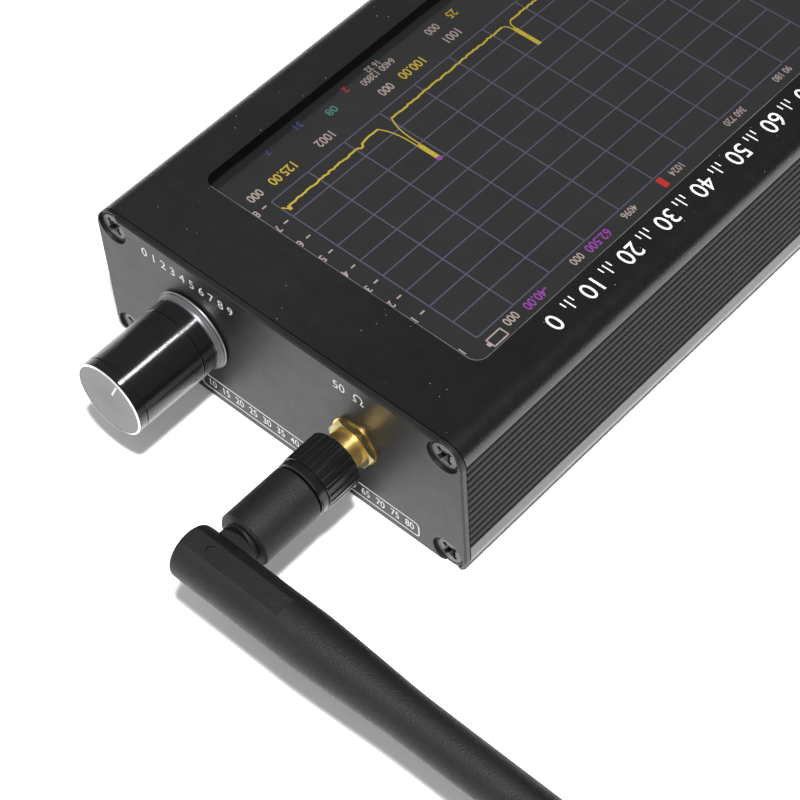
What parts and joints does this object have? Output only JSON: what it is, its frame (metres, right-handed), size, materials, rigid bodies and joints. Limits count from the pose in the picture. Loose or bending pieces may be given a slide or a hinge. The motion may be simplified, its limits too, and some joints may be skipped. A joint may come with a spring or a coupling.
{
  "type": "handheld spectrum analyzer",
  "caption": "Flat handheld radio signal analyzer: ribbed black metal case, recessed top screen, turning push knob and folding whip antenna on a threaded socket.",
  "frame": {"origin": "centre of the case's underside, between the extrusion's two ends", "axes": "+Z up through the screen; +X to the right seen from the end with the knob and antenna, the way the whip points at rest; +Y away from that end. Display-up is +X."},
  "size_m": [0.1367, 0.1572, 0.029],
  "materials": {
    "case_black": "matte black anodised, fine grained",
    "plate_black": "satin black anodised",
    "screw_black": "black oxide",
    "display_steel": "tinned",
    "display_glass": "glossy",
    "white_plastic": "matte",
    "amber_film": "glossy film",
    "board": "solder mask",
    "chip_black": "matte",
    "battery_wrap": "foil pouch",
    "black_plastic": "matte",
    "lamp": "clear tinted",
    "nickel": "nickel plated",
    "knob_black": "gloss black anodised, turned",
    "index_white": "paint",
    "gold": "gold plated",
    "antenna_black": "satin",
    "foam": "foam"
  },
  "bodies": {
    "case": {"case_extrusion": "case_black", "front_plate": "plate_black", "rear_plate": "plate_black", "front_screws": "screw_black", "rear_screws": "screw_black", "lcd_frame": "display_steel", "lcd_panel": "display_glass", "lcd_backlight": "white_plastic", "lcd_ribbon": "amber_film", "ribbon_connector": "white_plastic", "main_board": "board", "shield_can": "display_steel", "rf_chips": "chip_black", "processor": "chip_black", "crystal": "display_steel", "charger_chip": "chip_black", "battery": "battery_wrap", "battery_connector": "white_plastic", "usb_shell": "display_steel", "usb_tongue": "black_plastic", "switch_body": "display_steel", "status_lamp": "lamp", "encoder_housing": "black_plastic", "encoder_bushing": "nickel", "switch_dome": "display_steel", "encoder_board": "board", "encoder_washer": "nickel", "encoder_nut": "nickel", "socket_body": "gold", "socket_washer": "gold", "socket_nut": "gold", "socket_insulator": "white_plastic", "socket_contact": "gold"},
    "encoder_rotor": {"encoder_rotor": "white_plastic"},
    "knob": {"encoder_shaft": "nickel", "knob_hub": "black_plastic", "knob_body": "knob_black", "knob_index": "index_white"},
    "power_switch": {"switch_slider": "black_plastic"},
    "antenna_base": {"antenna_ferrule": "gold", "antenna_insulator": "white_plastic", "antenna_contact": "gold"},
    "coupling_nut": {"antenna_grip": "antenna_black", "antenna_nut_insert": "gold"},
    "antenna_hinge": {"antenna_hinge_body": "antenna_black"},
    "antenna_whip": {"antenna_whip": "antenna_black", "antenna_hinge_pin": "antenna_black", "antenna_sleeve": "gold", "antenna_radiator": "gold", "antenna_spacers": "foam"}
  },
  "joints": [
    {"name": "knob_turn", "type": "hinge", "parent": "case", "child": "encoder_rotor", "pos_m": [-0.0174, -0.057, 0.015], "axis": [0, -1, 0], "continuous": true},
    {"name": "knob_push", "type": "slide", "parent": "encoder_rotor", "child": "knob", "axis": [0, 1, 0], "range_m": [0, 0.00025], "stiffness_N_per_m": 8000, "springref_m": -0.00025},
    {"name": "power_switch_slide", "type": "slide", "parent": "case", "child": "power_switch", "axis": [1, 0, 0], "range_m": [0, 0.002]},
    {"name": "antenna_unscrew", "type": "slide", "parent": "case", "child": "antenna_base", "axis": [0, -1, 0], "range_m": [0, 0.00493]},
    {"name": "coupling_nut_turn", "type": "hinge", "parent": "antenna_base", "child": "coupling_nut", "pos_m": [0.01585, -0.069, 0.015], "axis": [0, -1, 0], "range_deg": [0, 2520]},
    {"name": "antenna_swivel", "type": "hinge", "parent": "antenna_base", "child": "antenna_hinge", "pos_m": [0.01585, -0.08, 0.015], "axis": [0, -1, 0], "continuous": true},
    {"name": "antenna_fold", "type": "hinge", "parent": "antenna_hinge", "child": "antenna_whip", "pos_m": [0.01585, -0.0904, 0.015], "axis": [0, 0, -1], "range_deg": [0, 90]}
  ],
  "couplings": [
    {"joint": "coupling_nut_turn", "follows": "antenna_unscrew", "rad_per_m": 8904.7}
  ]
}
